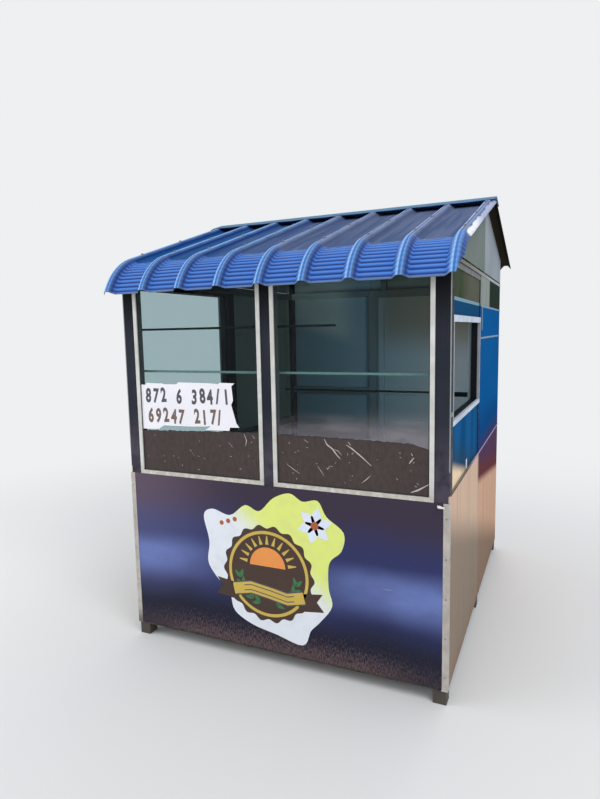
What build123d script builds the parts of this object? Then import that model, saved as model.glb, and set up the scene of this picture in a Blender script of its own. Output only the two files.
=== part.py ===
from build123d import *
import math
import os

# Street kiosk on feet: a metal frame clad in thin composite panels, glazed at the front
# and at the sides, with a serving hatch on the right and a door in the rear wall.
# Millimetres, +X to the right of the front, +Y to the rear, +Z up, ground at z = 0.
# The origin is the middle of the roof seen from above.

# Cabin
width = 1524.0
depth = 1829.0
skin = 4.0
post = 55.0
mullion = 48.0
mullion_offset = -10.0
rail = 40.0
joint = 0.3

# Levels
foot_height = 60.0
base_height = 50.0
deck_thickness = 18.0
front_sill = 827.0
sill_step = 27.0
eave = 1765.0

# Base
foot_size = 55.0
base_bar = 50.0

# Front windows
frame_bar = 18.0
frame_depth = 40.0
glass = 5.0
glass_setback = 8.0

# Side walls, measured back from the front face
side_post_from_front = 860.0
side_post_width = 70.0
panel_gap = 3.0
strip_drops = (165.0, 325.0)
strip_height = 10.0
sill_trim_height = 8.0

# Serving hatch
hatch_rise = 281.0
hatch_height = 382.0
hatch_bar = 20.0
hatch_head = 26.0
hatch_depth = 42.0

# Rear wall and door
rear_seam = 1060.0
door_left = -55.0
door_gap = 5.0
door_thickness = 30.0
door_bar = 45.0
door_panel = 4.0
stop_width = 12.0
stop_depth = 12.0

# Door hinges
hinge_inset = 230.0
knuckle_length = 40.0
knuckle_radius = 7.0
pin_radius = 4.0
pin_clearance = 0.1
pin_offset = 8.0
hinge_plate = 3.0
hinge_reach = 35.0
knuckle_gap = 0.4

# Door handle
handle_length = 200.0
handle_height = 1030.0
handle_bar = 14.0
handle_standoff = 30.0

# Roof, along the crests of its ribs
ridge_from_front = 1000.0
bend_rise = 93.0
front_pitch = 18.0
rear_pitch = 14.0
bend_from_front = 100.0
bend_radius = 300.0
bend_end_angle = 65.0
drip = 12.0
side_overhang = 52.0
rear_overhang = 170.0
rib_height = 25.0
rib_crest = 22.0
rib_base = 66.0
rib_spacing = 200.0
sheet = 2.0
ridge_setback = 14.0

# Roof frame
rafter_height = 40.0
rafter_width = 30.0
ridge_beam_depth = 60.0
ridge_beam_width = 40.0

# Ridge cap
cap_wing = 110.0
cap_thickness = 2.0

# Gable panels
gable_seam_setback = 20.0
gable_gap = 10.0
gable_trim_height = 15.0

# Trims
trim = 2.0
trim_leg = 22.0
base_trim_height = 5.0

# Rails behind the front glass
display_rail_height = 1316.0
display_rail_size = 10.0
rod_height = 1514.0
rod_size = 10.0
rod_end = 284.0

# Places that follow from the sizes
front_angle = math.radians(front_pitch)
rear_angle = math.radians(rear_pitch)
bend_angle = math.radians(bend_end_angle)
bend_run = bend_radius * (math.sin(bend_angle) - math.sin(front_angle))
front_overhang = bend_run + drip * math.cos(bend_angle) - bend_from_front
overall_depth = front_overhang + depth + rear_overhang
front = front_overhang - overall_depth / 2
back = front + depth
half = width / 2
frame_half = half - skin
frame_front = front + skin
frame_back = back - skin
base_top = foot_height + base_height
deck_top = base_top + deck_thickness
post_top = eave - rail
side_sill = front_sill + sill_step
hatch_low = side_sill + hatch_rise
hatch_high = hatch_low + hatch_height
side_post_front = front + side_post_from_front
side_post_back = side_post_front + side_post_width
door_right = frame_half - post
mullion_x = (mullion_offset - mullion / 2, mullion_offset + mullion / 2)
roof_half = half + side_overhang
ridge_y = front + ridge_from_front
ridge_z = eave + bend_rise + (ridge_from_front - bend_from_front) * math.tan(front_angle)
under_sheet = rib_height + sheet + joint


def block(x, y, z):
    """Box between two corners, given as a low and a high value on each axis."""
    size = (x[1] - x[0], y[1] - y[0], z[1] - z[0])
    return Pos(x[0], y[0], z[0]) * Box(*size, align=(Align.MIN, Align.MIN, Align.MIN))


def save(name, *solids):
    """Write one node, of one solid or of several that don't touch."""
    shape = solids[0] if len(solids) == 1 else Compound(list(solids))
    export_step(shape, f"parts/{name}.step")


def mirrored(*solids):
    """The solids and their copies on the other side of the kiosk."""
    return [*solids, *(mirror(solid, Plane.YZ) for solid in solids)]


def flipped(x):
    """The same stretch of X on the other side."""
    return (-x[1], -x[0])


def framed(across, z, bar, head, make):
    """Two stiles between a lower rail and a head, with a hairline at each joint."""
    rails = [(z[0], z[0] + bar), (z[1] - head, z[1])]
    stiles = [(across[0], across[0] + bar), (across[1] - bar, across[1])]
    pieces = [make(across, level) for level in rails]
    inner = (z[0] + bar + joint, z[1] - head - joint)
    return pieces + [make(stile, inner) for stile in stiles]


# Base, feet and floor


def make_feet():
    """Short legs under the corners and under the middle of each side."""
    middle = (frame_front + frame_back) / 2
    feet = []
    for y in (frame_front, middle - foot_size / 2, frame_back - foot_size):
        feet.append(block((frame_half - foot_size, frame_half), (y, y + foot_size), (0, foot_height)))
    return mirrored(*feet)


def make_base():
    side = block((frame_half - base_bar, frame_half), (frame_front, frame_back), (foot_height, base_top))
    inner = frame_half - base_bar - joint
    pieces = mirrored(side)
    bars = 4
    step = (frame_back - frame_front - base_bar) / (bars - 1)
    for index in range(bars):
        y = frame_front + index * step
        pieces.append(block((-inner, inner), (y, y + base_bar), (foot_height, base_top)))
    return pieces


def make_deck():
    return block((-frame_half, frame_half), (frame_front, frame_back), (base_top, deck_top))


# Frame


def corner_post(side, y):
    x = (frame_half - post, frame_half)
    return block(x if side > 0 else flipped(x), (y, y + post), (deck_top, post_top))


def make_frame():
    save("post_front_left", corner_post(-1, frame_front))
    save("post_front_right", corner_post(1, frame_front))
    save("post_rear_left", corner_post(-1, frame_back - post))
    save("post_rear_right", corner_post(1, frame_back - post))
    posts_deep = (frame_front, frame_front + post)
    save("front_mullion", block(mullion_x, posts_deep, (front_sill, post_top)))
    side_x = (frame_half - post, frame_half)
    side_y = (side_post_front, side_post_back)
    save("side_posts", *mirrored(block(side_x, side_y, (deck_top, post_top))))
    door_x = (door_left - post, door_left)
    rear_y = (frame_back - post, frame_back)
    save("door_post", block(door_x, rear_y, (deck_top, post_top)))

    between = (-door_right, door_right)
    save("front_sill_rail", block(between, posts_deep, (front_sill - rail, front_sill)))
    sill_z = (side_sill - rail, side_sill)
    bays = [(frame_front + post, side_post_front), (side_post_back, frame_back - post)]
    save("side_sill_rails", *mirrored(*[block(side_x, bay, sill_z) for bay in bays]))
    seam_z = (rear_seam - rail / 2, rear_seam + rail / 2)
    save("rear_mid_rail", block((-door_right, door_left - post), rear_y, seam_z))

    top_z = (post_top, eave)
    whole = (-frame_half, frame_half)
    save("front_top_rail", block(whole, posts_deep, top_z))
    save("rear_top_rail", block(whole, rear_y, top_z))
    save("side_top_rails", *mirrored(block(side_x, (frame_front + post, frame_back - post), top_z)))


# Cladding


def make_lower_panels():
    save("front_lower_panel", block((-half, half), (front, frame_front), (foot_height, front_sill)))
    seam = (side_post_front + side_post_back) / 2
    sheets = [(frame_front, seam - panel_gap / 2), (seam + panel_gap / 2, frame_back)]
    x = (frame_half, half)
    z = (foot_height, side_sill)
    save("right_lower_panels", *[block(x, sheet_y, z) for sheet_y in sheets])
    save("left_lower_panels", *[block(flipped(x), sheet_y, z) for sheet_y in sheets])


def make_rear_panels():
    y = (frame_back, back)
    wall = (-half, door_left)
    lower = block(wall, y, (foot_height, rear_seam - panel_gap / 2))
    upper = block(wall, y, (rear_seam + panel_gap / 2, eave))
    step = block((door_left + panel_gap, half), y, (foot_height, deck_top))
    save("rear_wall_panels", lower, upper, step)
    rear_top = roof_under(back, under_sheet)
    save("rear_top_panel", block((-half, half), y, (eave + joint, rear_top)))


def make_side_panels():
    """Closed rear bay of each side wall and the post before it, in sheets one over the other."""
    x = (frame_half, half)
    y = (side_post_front + joint, frame_back)
    levels = [eave - drop for drop in strip_drops]
    edges = [eave, *levels, side_sill]
    sheets = []
    for high, low in zip(edges, edges[1:]):
        sheets.append(block(x, y, (low + panel_gap / 2, high - panel_gap / 2)))
    save("right_rear_panels", *sheets)
    save("left_rear_panels", *[mirror(sheet_piece, Plane.YZ) for sheet_piece in sheets])
    cover = block(x, (frame_front, frame_front + post), (side_sill + panel_gap, eave))
    save("corner_covers", *mirrored(cover))


def make_side_trims():
    """Strips on the side faces: under the gable, over the joints and over the sill."""
    x = (half, half + trim)
    rear_bay = (side_post_front + joint, frame_back)
    strips = [block(x, (front, back), (eave - gable_trim_height, eave))]
    for drop in strip_drops:
        middle = eave - drop
        strips.append(block(x, rear_bay, (middle - strip_height / 2, middle + strip_height / 2)))
    sill = (side_sill - sill_trim_height / 2, side_sill + sill_trim_height / 2)
    strips.append(block(x, (front + trim_leg + joint, back), sill))
    save("side_trims", *mirrored(*strips))


def make_front_trims():
    """Angles over the two front edges of the lower panels, and a strip along the foot."""
    z = (foot_height, front_sill)
    angle = block((half - trim_leg, half + trim), (front - trim, front), z)
    angle += block((half, half + trim), (front - trim, front + trim_leg), z)
    reach = half - trim_leg - joint
    foot_strip = block((-reach, reach), (front - trim, front), (foot_height, foot_height + base_trim_height))
    save("front_trims", *mirrored(angle), foot_strip)


# Windows and hatch


def make_front_windows():
    y = (front, front + frame_depth)
    z = (front_sill, post_top)
    pane_y = (front + glass_setback, front + glass_setback + glass)
    bays = {"left": (-door_right, mullion_x[0]), "right": (mullion_x[1], door_right)}
    bars = []
    for side, across in bays.items():
        bars += framed(across, z, frame_bar, frame_bar, lambda x, level: block(x, y, level))
        pane_x = (across[0] + frame_bar, across[1] - frame_bar)
        save(f"front_glass_{side}", block(pane_x, pane_y, (z[0] + frame_bar, z[1] - frame_bar)))
    save("front_window_frames", *bars)


def make_left_window():
    x = flipped((half - frame_depth, half))
    pane_x = flipped((half - glass_setback - glass, half - glass_setback))
    across = (frame_front + post, side_post_front)
    z = (side_sill, post_top)
    bars = framed(across, z, frame_bar, frame_bar, lambda y, level: block(x, y, level))
    save("left_window_frame", *bars)
    inner_y = (across[0] + frame_bar, across[1] - frame_bar)
    save("left_window_glass", block(pane_x, inner_y, (z[0] + frame_bar, z[1] - frame_bar)))


def make_hatch():
    x = (half - hatch_depth, half)
    pane_x = (half - glass_setback - glass, half - glass_setback)
    across = (frame_front + post, side_post_front)
    z = (hatch_low - hatch_bar, hatch_high + hatch_head)
    bars = framed(across, z, hatch_bar, hatch_head, lambda y, level: block(x, y, level))
    save("hatch_frame", *bars)
    panes = [(side_sill, z[0]), (z[1], post_top)]
    save("right_side_glass", *[block(pane_x, across, pane_z) for pane_z in panes])


# Roof


def slope(angle, way):
    """Direction down a slope and the outward normal, as (y, z) pairs."""
    down = (way * math.cos(angle), -math.sin(angle))
    normal = (way * math.sin(angle), math.cos(angle))
    return down, normal


def move(point, direction, amount):
    return (point[0] + direction[0] * amount, point[1] + direction[1] * amount)


front_down, front_normal = slope(front_angle, -1)
rear_down, rear_normal = slope(rear_angle, 1)
bend_down, bend_normal = slope(bend_angle, -1)
ridge = (ridge_y, ridge_z)
front_run = (ridge_from_front - bend_from_front) / math.cos(front_angle)
rear_run = (depth - ridge_from_front + rear_overhang) / math.cos(rear_angle)
bend_start = move(ridge, front_down, front_run)
bend_centre = move(bend_start, front_normal, -bend_radius)
bend_end = move(bend_centre, bend_normal, bend_radius)
rear_eave = move(ridge, rear_down, rear_run)


def lowered_ridge(drop):
    """Where the two slopes meet when both lie the drop below the rib crests."""
    lean = 1 + front_normal[0] * rear_normal[0] + front_normal[1] * rear_normal[1]
    both = (front_normal[0] + rear_normal[0], front_normal[1] + rear_normal[1])
    return move(ridge, both, -drop / lean)


def roof_under(y, drop):
    """Height of the rear slope at y, the drop below the rib crests."""
    top = lowered_ridge(drop)
    return top[1] - (y - top[0]) * math.tan(rear_angle)


def under_roof(x, drop):
    """Everything below the roof's curve, the drop below its rib crests."""
    start = move(bend_start, front_normal, -drop)
    _, middle_normal = slope((front_angle + bend_angle) / 2, -1)
    middle = move(bend_centre, middle_normal, bend_radius - drop)
    end = move(bend_end, bend_normal, -drop)
    top = lowered_ridge(drop)
    tail = move(rear_eave, rear_normal, -drop)
    floor = end[1] - rail

    def at(point):
        return (x[0], point[0], point[1])

    outline = [
        Line(at((end[0], floor)), at(end)),
        ThreePointArc(at(end), at(middle), at(start)),
        Line(at(start), at(top)),
        Line(at(top), at(tail)),
        Line(at(tail), at((tail[0], floor))),
        Line(at((tail[0], floor)), at((end[0], floor))),
    ]
    face = Face(Wire(outline))
    return extrude(face, amount=x[1] - x[0], dir=(1, 0, 0))


def rib_section():
    """Ribbed section of the sheet, as (x, height) with the crests at zero."""
    bays = max(1, round((2 * roof_half - rib_base) / rib_spacing))
    pitch = (2 * roof_half - rib_base) / bays
    top = []
    for index in range(bays + 1):
        centre = -roof_half + rib_base / 2 + index * pitch
        top.append((centre - rib_base / 2, -rib_height))
        top.append((centre - rib_crest / 2, 0))
        top.append((centre + rib_crest / 2, 0))
        top.append((centre + rib_base / 2, -rib_height))
    bottom = [(x, height - sheet) for x, height in reversed(top)]
    return top + bottom


def roof_sheet(start, down, path):
    """Ribbed sheet swept along a path that starts down the slope."""
    plane = Plane(origin=(0, *start), x_dir=(1, 0, 0), z_dir=(0, *down))
    points = rib_section()
    if (plane.y_dir).Z < 0:
        points = [(x, -height) for x, height in points]
    face = plane * make_face(Polyline(*points, close=True))
    return sweep(face, path=path)


def make_roof_sheets():
    start = move(ridge, front_down, ridge_setback)
    _, middle_normal = slope((front_angle + bend_angle) / 2, -1)
    middle = move(bend_centre, middle_normal, bend_radius)
    tip = move(bend_end, bend_down, drip)
    path = Wire([
        Line((0, *start), (0, *bend_start)),
        ThreePointArc((0, *bend_start), (0, *middle), (0, *bend_end)),
        Line((0, *bend_end), (0, *tip)),
    ])
    save("roof_front", roof_sheet(start, front_down, path))
    start = move(ridge, rear_down, ridge_setback)
    save("roof_rear", roof_sheet(start, rear_down, Wire([Line((0, *start), (0, *rear_eave))])))


def make_ridge_cap():
    x = (-roof_half, roof_half)
    cap = under_roof(x, -joint - cap_thickness) - under_roof(x, -joint)
    reach = cap_wing * math.cos(front_angle)
    high = ridge_z + rail
    cap &= block(x, (ridge_y - reach, ridge_y + reach), (eave, high))
    save("ridge_cap", cap)


def make_gables():
    x = (frame_half, half)
    below = under_roof(x, under_sheet)
    seam = ridge_y - gable_seam_setback
    low = eave + gable_gap
    parts = [
        below & block(x, (front, seam), (low, ridge_z)),
        below & block(x, (seam + panel_gap, back - skin), (low, ridge_z)),
    ]
    save("gable_right", *parts)
    save("gable_left", *[mirror(solid, Plane.YZ) for solid in parts])


def make_roof_frame():
    rafter_drop = under_sheet + rafter_height
    beam = (ridge_y - ridge_beam_width / 2, ridge_y + ridge_beam_width / 2)
    inner = (-frame_half, frame_half)
    beam_low = lowered_ridge(under_sheet)[1] - ridge_beam_depth
    ridge_beam = under_roof(inner, under_sheet) & block(inner, beam, (beam_low, ridge_z))
    save("ridge_beam", ridge_beam)

    places = [
        (-frame_half, -frame_half + rafter_width),
        (-rafter_width / 2, rafter_width / 2),
        (frame_half - rafter_width, frame_half),
    ]
    rafters = []
    studs = []
    for x in places:
        band = under_roof(x, under_sheet) - under_roof(x, rafter_drop)
        rafters.append(band & block(x, (frame_front, beam[0] - joint), (eave, ridge_z)))
        rafters.append(band & block(x, (beam[1] + joint, frame_back), (eave, ridge_z)))
        stud_y = (frame_back - ridge_beam_width, frame_back)
        studs.append(under_roof(x, rafter_drop + joint) & block(x, stud_y, (eave, ridge_z)))
    save("rafters", *rafters)
    for x in (places[0], places[-1]):
        studs.append(block(x, beam, (eave, beam_low)))
    save("roof_studs", *studs)


# Rails inside the front


def make_display_rails():
    """A rail and a shorter rod, fixed behind the front posts and the mullion."""
    reach = half - hatch_depth - joint
    y = frame_front + post
    rail_z = (display_rail_height - display_rail_size / 2, display_rail_height + display_rail_size / 2)
    save("display_rail", block((-reach, reach), (y, y + display_rail_size), rail_z))
    rod_z = (rod_height - rod_size / 2, rod_height + rod_size / 2)
    save("hanging_rod", block((-reach, rod_end), (y, y + rod_size), rod_z))


# Door


def make_door():
    x = (door_left + door_gap, door_right - door_gap)
    y = (frame_back - door_thickness, frame_back)
    z = (deck_top + door_gap, post_top - door_gap)
    pieces = framed(x, z, door_bar, door_bar, lambda across, level: block(across, y, level))
    inner_x = (x[0] + door_bar, x[1] - door_bar)
    seam = (rear_seam - door_bar / 2, rear_seam + door_bar / 2)
    mid_x = (inner_x[0] + joint, inner_x[1] - joint)
    save("door_frame", *pieces, block(mid_x, y, seam))
    middle = frame_back - door_thickness / 2
    panel_y = (middle - door_panel / 2, middle + door_panel / 2)
    lower = block(inner_x, panel_y, (z[0] + door_bar, seam[0]))
    upper = block(inner_x, panel_y, (seam[1], z[1] - door_bar))
    save("door_panels", lower, upper)
    make_hinges(x[1], z)
    make_handle(x[0] + door_bar / 2)


def make_door_stops():
    """Strips on the posts and the top rail that the closed leaf rests against."""
    leaf_face = frame_back - door_thickness - joint
    y = (leaf_face - stop_depth, leaf_face)
    left = (door_left, door_left + stop_width)
    right = (door_right - stop_width, door_right)
    head = block((left[1] + joint, right[0] - joint), y, (post_top - stop_width, post_top))
    save("door_stops", head, *[block(x, y, (deck_top, post_top)) for x in (left, right)])


def make_hinges(leaf_edge, leaf_z):
    """Pin and plate on the post, knuckle and plate on the leaf."""
    pin_x = (leaf_edge + door_right) / 2
    pin_y = frame_back + pin_offset
    plate_y = (frame_back, frame_back + hinge_plate)
    fixed = []
    moving = []
    for low in (leaf_z[0] + hinge_inset, leaf_z[1] - hinge_inset - 2 * knuckle_length):
        middle = low + knuckle_length
        upright = (Align.CENTER, Align.CENTER, Align.MIN)
        lower = Pos(pin_x, pin_y, low) * Cylinder(knuckle_radius, knuckle_length, align=upright)
        pin = Pos(pin_x, pin_y, low) * Cylinder(pin_radius, 2 * knuckle_length, align=upright)
        root = block((pin_x, door_right + hinge_reach), plate_y, (low, middle))
        fixed.append(lower + pin + root)
        raised = middle + knuckle_gap
        length = knuckle_length - knuckle_gap
        upper = Pos(pin_x, pin_y, raised) * Cylinder(knuckle_radius, length, align=upright)
        leaf = block((leaf_edge - hinge_reach, pin_x), plate_y, (raised, raised + length))
        bore = Pos(pin_x, pin_y, low) * Cylinder(pin_radius + pin_clearance, 3 * knuckle_length, align=upright)
        moving.append(upper + leaf - bore)
    save("door_hinge_pins", *fixed)
    save("door_hinge_leaves", *moving)


def make_handle(x):
    z = (handle_height - handle_length / 2, handle_height + handle_length / 2)
    across = (x - handle_bar / 2, x + handle_bar / 2)
    outer = frame_back + handle_standoff
    handle = block(across, (outer, outer + handle_bar), z)
    for low in (z[0], z[1] - handle_bar):
        handle += block(across, (frame_back, outer), (low, low + handle_bar))
    save("door_handle", handle)


os.makedirs("parts", exist_ok=True)
save("feet", *make_feet())
save("base_frame", *make_base())
save("floor_deck", make_deck())
make_frame()
make_lower_panels()
make_rear_panels()
make_side_panels()
make_side_trims()
make_front_trims()
make_front_windows()
make_left_window()
make_hatch()
make_roof_sheets()
make_ridge_cap()
make_gables()
make_roof_frame()
make_display_rails()
make_door_stops()
make_door()
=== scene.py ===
import math
import random

import bpy
from mathutils import Matrix, Vector


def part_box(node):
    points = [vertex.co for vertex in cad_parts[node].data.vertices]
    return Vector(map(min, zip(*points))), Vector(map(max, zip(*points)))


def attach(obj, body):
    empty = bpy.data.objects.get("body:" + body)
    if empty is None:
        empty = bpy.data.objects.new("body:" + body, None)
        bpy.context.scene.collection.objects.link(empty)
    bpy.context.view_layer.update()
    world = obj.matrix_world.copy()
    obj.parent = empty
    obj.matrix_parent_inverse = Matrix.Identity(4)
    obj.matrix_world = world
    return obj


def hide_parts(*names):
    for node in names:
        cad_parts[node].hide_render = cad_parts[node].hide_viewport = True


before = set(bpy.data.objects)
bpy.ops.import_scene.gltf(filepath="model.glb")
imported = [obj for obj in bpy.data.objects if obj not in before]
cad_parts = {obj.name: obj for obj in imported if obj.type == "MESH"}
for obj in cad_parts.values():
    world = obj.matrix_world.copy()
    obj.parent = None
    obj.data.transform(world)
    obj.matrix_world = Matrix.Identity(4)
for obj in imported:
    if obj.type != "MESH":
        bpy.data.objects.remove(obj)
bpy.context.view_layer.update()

# Street kiosk in metres: +X to the right of the glazed front, +Y to the rear, +Z up.

# Places read from the fixed parts
panel_low, panel_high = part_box("front_lower_panel")
foot = panel_low.z
half = panel_high.x
front = panel_low.y
counter = panel_high.z
skin = panel_high.y - front
frame_front = front + skin
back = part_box("rear_wall_panels")[1].y
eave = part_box("side_top_rails")[1].z
side_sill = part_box("side_sill_rails")[1].z
rear_seam = (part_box("rear_mid_rail")[0].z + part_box("rear_mid_rail")[1].z) / 2
bay_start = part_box("right_rear_panels")[0].y
side_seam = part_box("side_posts")[0].y / 2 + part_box("side_posts")[1].y / 2
joint_drop = 0.165
upper_joint = eave - joint_drop
left_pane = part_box("front_glass_left")
right_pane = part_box("front_glass_right")
glass_face = left_pane[0].y
roof_low, roof_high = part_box("roof_front")
cap_low, cap_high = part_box("ridge_cap")

# Roof sheet, as its solid is made, and the rows of its screws down from the ridge
front_pitch = math.radians(18)
rear_pitch = math.radians(14)
bend_radius = 0.300
bend_end_angle = math.radians(65)
drip = 0.012
rib_height = 0.025
rib_crest = 0.022
rib_base = 0.066
rib_spacing = 0.200
sheet = 0.002
ridge_gap = 0.014
front_screw_rows = (0.16, 0.50, 0.84)
rear_screw_rows = (0.18, 0.55, 0.93)

# Viewpoint of the picture
view_height = 799
focal_pixels = 577.082
sensor = 36.0
eye_right = 1.12682
eye_ahead = 2.17415
eye_height = 1.49186
turn_left = 0.423294
tilt_down = 0.117535
roll = -0.0200677


# Shader nodes


def linear(level):
    """Scene value of one display channel from 0 to 255."""
    share = level / 255
    return share / 12.92 if share <= 0.04045 else ((share + 0.055) / 1.055) ** 2.4


class Tree:
    """Shader nodes made with short calls.

    Three numbers are a display colour, from 0 to 255, and four are a scene colour, from 0 to 1.
    """

    def __init__(self, tree):
        self.nodes = tree.nodes
        self.links = tree.links
        self.nodes.clear()

    def node(self, kind, inputs=None, **settings):
        made = self.nodes.new(kind)
        for key, value in settings.items():
            setattr(made, key, value)
        for key, value in (inputs or {}).items():
            self.plug(made.inputs[key], value)
        return made

    def plug(self, socket, value):
        if isinstance(value, bpy.types.NodeSocket):
            self.links.new(value, socket)
        elif socket.type == "RGBA" and len(value) == 3:
            socket.default_value = (*map(linear, value), 1.0)
        else:
            socket.default_value = value

    def math(self, operation, first, *others):
        """Result of an operation on two or more values in turn."""
        for other in others:
            first = self.node("ShaderNodeMath", {0: first, 1: other}, operation=operation).outputs[0]
        return first

    def times(self, *values):
        return self.math("MULTIPLY", *values)

    def plus(self, *values):
        return self.math("ADD", *values)

    def most(self, *values):
        return self.math("MAXIMUM", *values)

    def join(self, share, first, second):
        """Two shaders mixed by a share."""
        return self.node("ShaderNodeMixShader", {0: share, 1: first, 2: second}).outputs[0]


class Coat(Tree):
    """A procedural material, whose tone is laid on in layers."""

    def __init__(self, name, *start):
        """Begin with two colours mixed by noise, where they are given."""
        self.material = bpy.data.materials.new(name)
        self.material.use_nodes = True
        super().__init__(self.material.node_tree)
        self.place = self.node("ShaderNodeTexCoord").outputs["Object"]
        self.x, self.y, self.z = self.node("ShaderNodeSeparateXYZ", {0: self.place}).outputs
        self.tone = self.blend(*start) if start else None

    def noise(self, scale, detail=4.0, stretch=(1, 1, 1), shift=0.0):
        """Grey noise from 0 to 1; a stretch below 1 lengthens it along that axis."""
        spread = self.node("ShaderNodeMapping", {0: self.place, 1: (shift, shift, shift), 3: stretch})
        settings = {"Vector": spread.outputs[0], "Scale": scale, "Detail": detail, "Roughness": 0.55}
        return self.node("ShaderNodeTexNoise", settings).outputs[0]

    def span(self, value, low, high, start=0.0, end=1.0):
        """Smooth step of the value from low to high."""
        limits = {0: value, 1: low, 2: high, 3: start, 4: end}
        return self.node("ShaderNodeMapRange", limits, interpolation_type="SMOOTHSTEP").outputs[0]

    def patches(self, low, high, *noise, start=0.0, end=1.0, shift=0.0):
        """Smooth step of a noise, which makes soft patches of it."""
        return self.span(self.noise(*noise, shift=shift), low, high, start, end)

    def mix(self, share, first, second, mode="MIX"):
        inputs = {0: share, 6: first, 7: second}
        return self.node("ShaderNodeMix", inputs, data_type="RGBA", blend_type=mode).outputs[2]

    def blend(self, first, second, *noise):
        return self.mix(self.noise(*noise), first, second)

    def layer(self, colour, *shares, mode="MIX"):
        """Lay a colour over the tone, by the product of the shares."""
        self.tone = self.mix(self.times(*shares), self.tone, colour, mode)

    def grime(self, dirt, amount, scale):
        """Soft patches of dirt over part of the tone."""
        self.layer(dirt, self.patches(0.62 - amount, 0.85 - amount / 2, scale, 8.0), amount)

    def over(self, value, level):
        return self.math("GREATER_THAN", value, level)

    def under(self, value, level):
        return self.math("LESS_THAN", value, level)

    def within(self, value, low, high):
        """One where the value lies between low and high, and nothing elsewhere."""
        return self.times(self.over(value, low), self.under(value, high))

    def above(self, level):
        """Height over a level."""
        return self.math("SUBTRACT", self.z, level)

    def rise(self, level, *limits):
        """Smooth step of the height over a level."""
        return self.span(self.above(level), *limits)

    def behind_front(self):
        """Distance back from the front face."""
        return self.math("SUBTRACT", self.y, front)

    def out_from_middle(self):
        return self.math("ABSOLUTE", self.x, 0.0)

    def bump(self, height, depth, strength=0.4):
        inputs = {"Height": height, "Distance": depth, "Strength": strength}
        return self.node("ShaderNodeBump", inputs).outputs[0]

    def grain(self, depth, *noise):
        """Fine relief that follows a noise."""
        return self.bump(self.noise(*noise), depth)

    def attribute(self, name):
        return self.node("ShaderNodeAttribute", attribute_name=name).outputs["Fac"]

    def diffuse(self, colour):
        return self.node("ShaderNodeBsdfDiffuse", {"Color": colour}).outputs[0]

    def close(self, shader):
        self.node("ShaderNodeOutputMaterial", {"Surface": shader})
        return self.material

    def surface(self, noise, least, most, normal=None, shine=0.5, metallic=0.0):
        """Material in the tone, with a roughness from least to most by the noise."""
        inputs = {
            "Base Color": self.tone,
            "Roughness": self.span(noise, 0.2, 0.8, least, most),
            "Specular IOR Level": shine,
            "Metallic": metallic,
        }
        if normal:
            inputs["Normal"] = normal
        return self.close(self.node("ShaderNodeBsdfPrincipled", inputs).outputs[0])


# Finishes of the frame and the front


def post_paint():
    coat = Coat("dark_post_paint", (30, 32, 40), (44, 48, 58), 2.0)
    coat.layer((66, 66, 80), coat.patches(0.5, 0.8, 60.0, 3.0, (1, 1, 0.03)), 0.25)
    low = coat.rise(counter, 0.36, 0.06)
    coat.layer((88, 78, 92), low, coat.patches(0.25, 0.6, 14.0, 8.0), 0.6)
    # Painted shade: the posts darken towards their tops, under the roof.
    coat.layer((8, 8, 10), coat.span(coat.z, eave - 0.34, eave - 0.08), 0.9)
    grain = coat.grain(0.0004, 180.0, 2.0)
    return coat.surface(coat.noise(25.0), 0.5, 0.7, grain, shine=0.1)


def window_frame_paint():
    """White faces, sandy at the foot, with dark gaskets in the reveals behind them."""
    coat = Coat("white_frame_paint", (214, 214, 208), (196, 198, 196), 3.0)
    coat.grime((140, 134, 124), 0.35, 16.0)
    low = coat.rise(counter, 0.045, 0.018)
    coat.layer((168, 152, 132), low, coat.patches(0.35, 0.62, 60.0, 8.0), 0.6)
    chips = coat.patches(0.68, 0.72, 70.0, 6.0, shift=3.0)
    coat.layer((104, 98, 92), chips, 0.7)
    coat.layer((54, 56, 56), coat.span(coat.y, frame_front + 0.002, frame_front + 0.004), 0.85)
    return coat.surface(coat.noise(20.0), 0.35, 0.6, coat.bump(chips, 0.0003, 0.5))


def side_frame_paint():
    """Pale metal nose on the outer edge of a side frame and dark rubber further in."""
    coat = Coat("side_frame_paint", (176, 190, 212), (198, 206, 220), 5.0)
    hatch_low, hatch_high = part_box("hatch_frame")
    coat.layer((142, 146, 152), coat.within(coat.z, hatch_low.z + 0.021, hatch_high.z - 0.027))
    coat.grime((120, 118, 116), 0.3, 20.0)
    dark = coat.blend((12, 13, 16), (24, 26, 32), 8.0)
    coat.tone = coat.mix(coat.over(coat.out_from_middle(), half - 0.012), dark, coat.tone)
    grain = coat.grain(0.0003, 120.0, 3.0)
    return coat.surface(coat.noise(20.0), 0.4, 0.6, grain, shine=0.1)


def side_post_paint():
    """Dark side posts; the right one is grey over its inner part, past the hatch frame."""
    coat = Coat("side_post_paint", (16, 20, 24), (28, 33, 40), 12.0, 5.0)
    grey = coat.blend((150, 166, 176), (164, 178, 188), 3.0)
    coat.layer(grey, coat.within(coat.x, 0.0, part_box("hatch_frame")[0].x))
    grain = coat.grain(0.0003, 96.0, 3.0)
    return coat.surface(coat.noise(24.0), 0.54, 0.68, grain, shine=0.1)


def grey_frame_paint():
    coat = Coat("grey_frame_paint", (70, 78, 82), (92, 100, 104), 2.5)
    coat.grime((60, 54, 50), 0.4, 12.0)
    return coat.surface(coat.noise(18.0), 0.42, 0.65, coat.grain(0.0004, 160.0, 2.0))


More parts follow.
